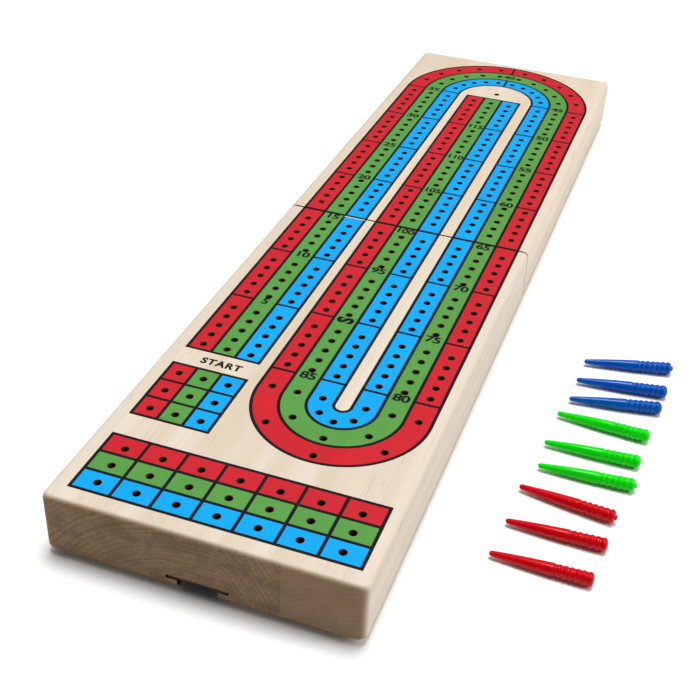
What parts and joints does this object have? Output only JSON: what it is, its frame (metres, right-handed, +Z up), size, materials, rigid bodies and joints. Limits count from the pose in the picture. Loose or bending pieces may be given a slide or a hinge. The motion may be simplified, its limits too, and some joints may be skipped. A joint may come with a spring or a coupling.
{
  "type": "cribbage board",
  "caption": "Folding wooden cribbage board with a printed three-track course, a peg compartment underneath and plastic pegs beside it.",
  "frame": {"origin": "centre of the whole set's box, board and pegs together, on the table", "axes": "+Y along the board from its start end to its far end, +X across the board towards the pegs, +Z up from the table"},
  "size_m": [0.1617, 0.381, 0.0226],
  "materials": {
    "maple": "satin lacquer over a printed course",
    "brass": "satin",
    "screw_brass": "satin",
    "brown_plastic": "satin",
    "pad": "matt",
    "blue_plastic": "gloss",
    "green_plastic": "gloss",
    "red_plastic": "gloss"
  },
  "bodies": {
    "front_half": {"front_board_half": "maple", "left_hinge_front_leaf": "brass", "left_hinge_pin": "brass", "left_hinge_front_screw_1": "screw_brass", "left_hinge_front_screw_2": "screw_brass", "right_hinge_front_leaf": "brass", "right_hinge_pin": "brass", "right_hinge_front_screw_1": "screw_brass", "right_hinge_front_screw_2": "screw_brass", "front_left_foot_pad": "pad", "front_right_foot_pad": "pad"},
    "rear_half": {"rear_board_half": "maple", "left_hinge_rear_leaf": "brass", "left_hinge_rear_screw_1": "screw_brass", "left_hinge_rear_screw_2": "screw_brass", "right_hinge_rear_leaf": "brass", "right_hinge_rear_screw_1": "screw_brass", "right_hinge_rear_screw_2": "screw_brass", "rear_left_foot_pad": "pad", "rear_right_foot_pad": "pad"},
    "lid": {"compartment_lid": "brown_plastic"},
    "peg_blue_1": {"blue_peg_1": "blue_plastic"},
    "peg_blue_2": {"blue_peg_2": "blue_plastic"},
    "peg_blue_3": {"blue_peg_3": "blue_plastic"},
    "peg_green_1": {"green_peg_1": "green_plastic"},
    "peg_green_2": {"green_peg_2": "green_plastic"},
    "peg_green_3": {"green_peg_3": "green_plastic"},
    "peg_red_1": {"red_peg_1": "red_plastic"},
    "peg_red_2": {"red_peg_2": "red_plastic"},
    "peg_red_3": {"red_peg_3": "red_plastic"}
  },
  "joints": [
    {"name": "board_fold", "type": "hinge", "parent": "front_half", "child": "rear_half", "pos_m": [-0.03117, 0, 0.00145], "axis": [-1, 0, 0], "range_deg": [0, 178.9]},
    {"name": "lid_slide", "type": "slide", "parent": "front_half", "child": "lid", "axis": [0, -1, 0], "range_m": [0, 0.112]},
    {"name": "blue_peg_1_lift", "type": "slide", "parent": "front_half", "child": "peg_blue_1", "axis": [0, 0, 1], "range_m": [0, 0.04]},
    {"name": "blue_peg_2_lift", "type": "slide", "parent": "front_half", "child": "peg_blue_2", "axis": [0, 0, 1], "range_m": [0, 0.04]},
    {"name": "blue_peg_3_lift", "type": "slide", "parent": "front_half", "child": "peg_blue_3", "axis": [0, 0, 1], "range_m": [0, 0.04]},
    {"name": "green_peg_1_lift", "type": "slide", "parent": "front_half", "child": "peg_green_1", "axis": [0, 0, 1], "range_m": [0, 0.04]},
    {"name": "green_peg_2_lift", "type": "slide", "parent": "front_half", "child": "peg_green_2", "axis": [0, 0, 1], "range_m": [0, 0.04]},
    {"name": "green_peg_3_lift", "type": "slide", "parent": "front_half", "child": "peg_green_3", "axis": [0, 0, 1], "range_m": [0, 0.04]},
    {"name": "red_peg_1_lift", "type": "slide", "parent": "front_half", "child": "peg_red_1", "axis": [0, 0, 1], "range_m": [0, 0.04]},
    {"name": "red_peg_2_lift", "type": "slide", "parent": "front_half", "child": "peg_red_2", "axis": [0, 0, 1], "range_m": [0, 0.04]},
    {"name": "red_peg_3_lift", "type": "slide", "parent": "front_half", "child": "peg_red_3", "axis": [0, 0, 1], "range_m": [0, 0.04]}
  ]
}
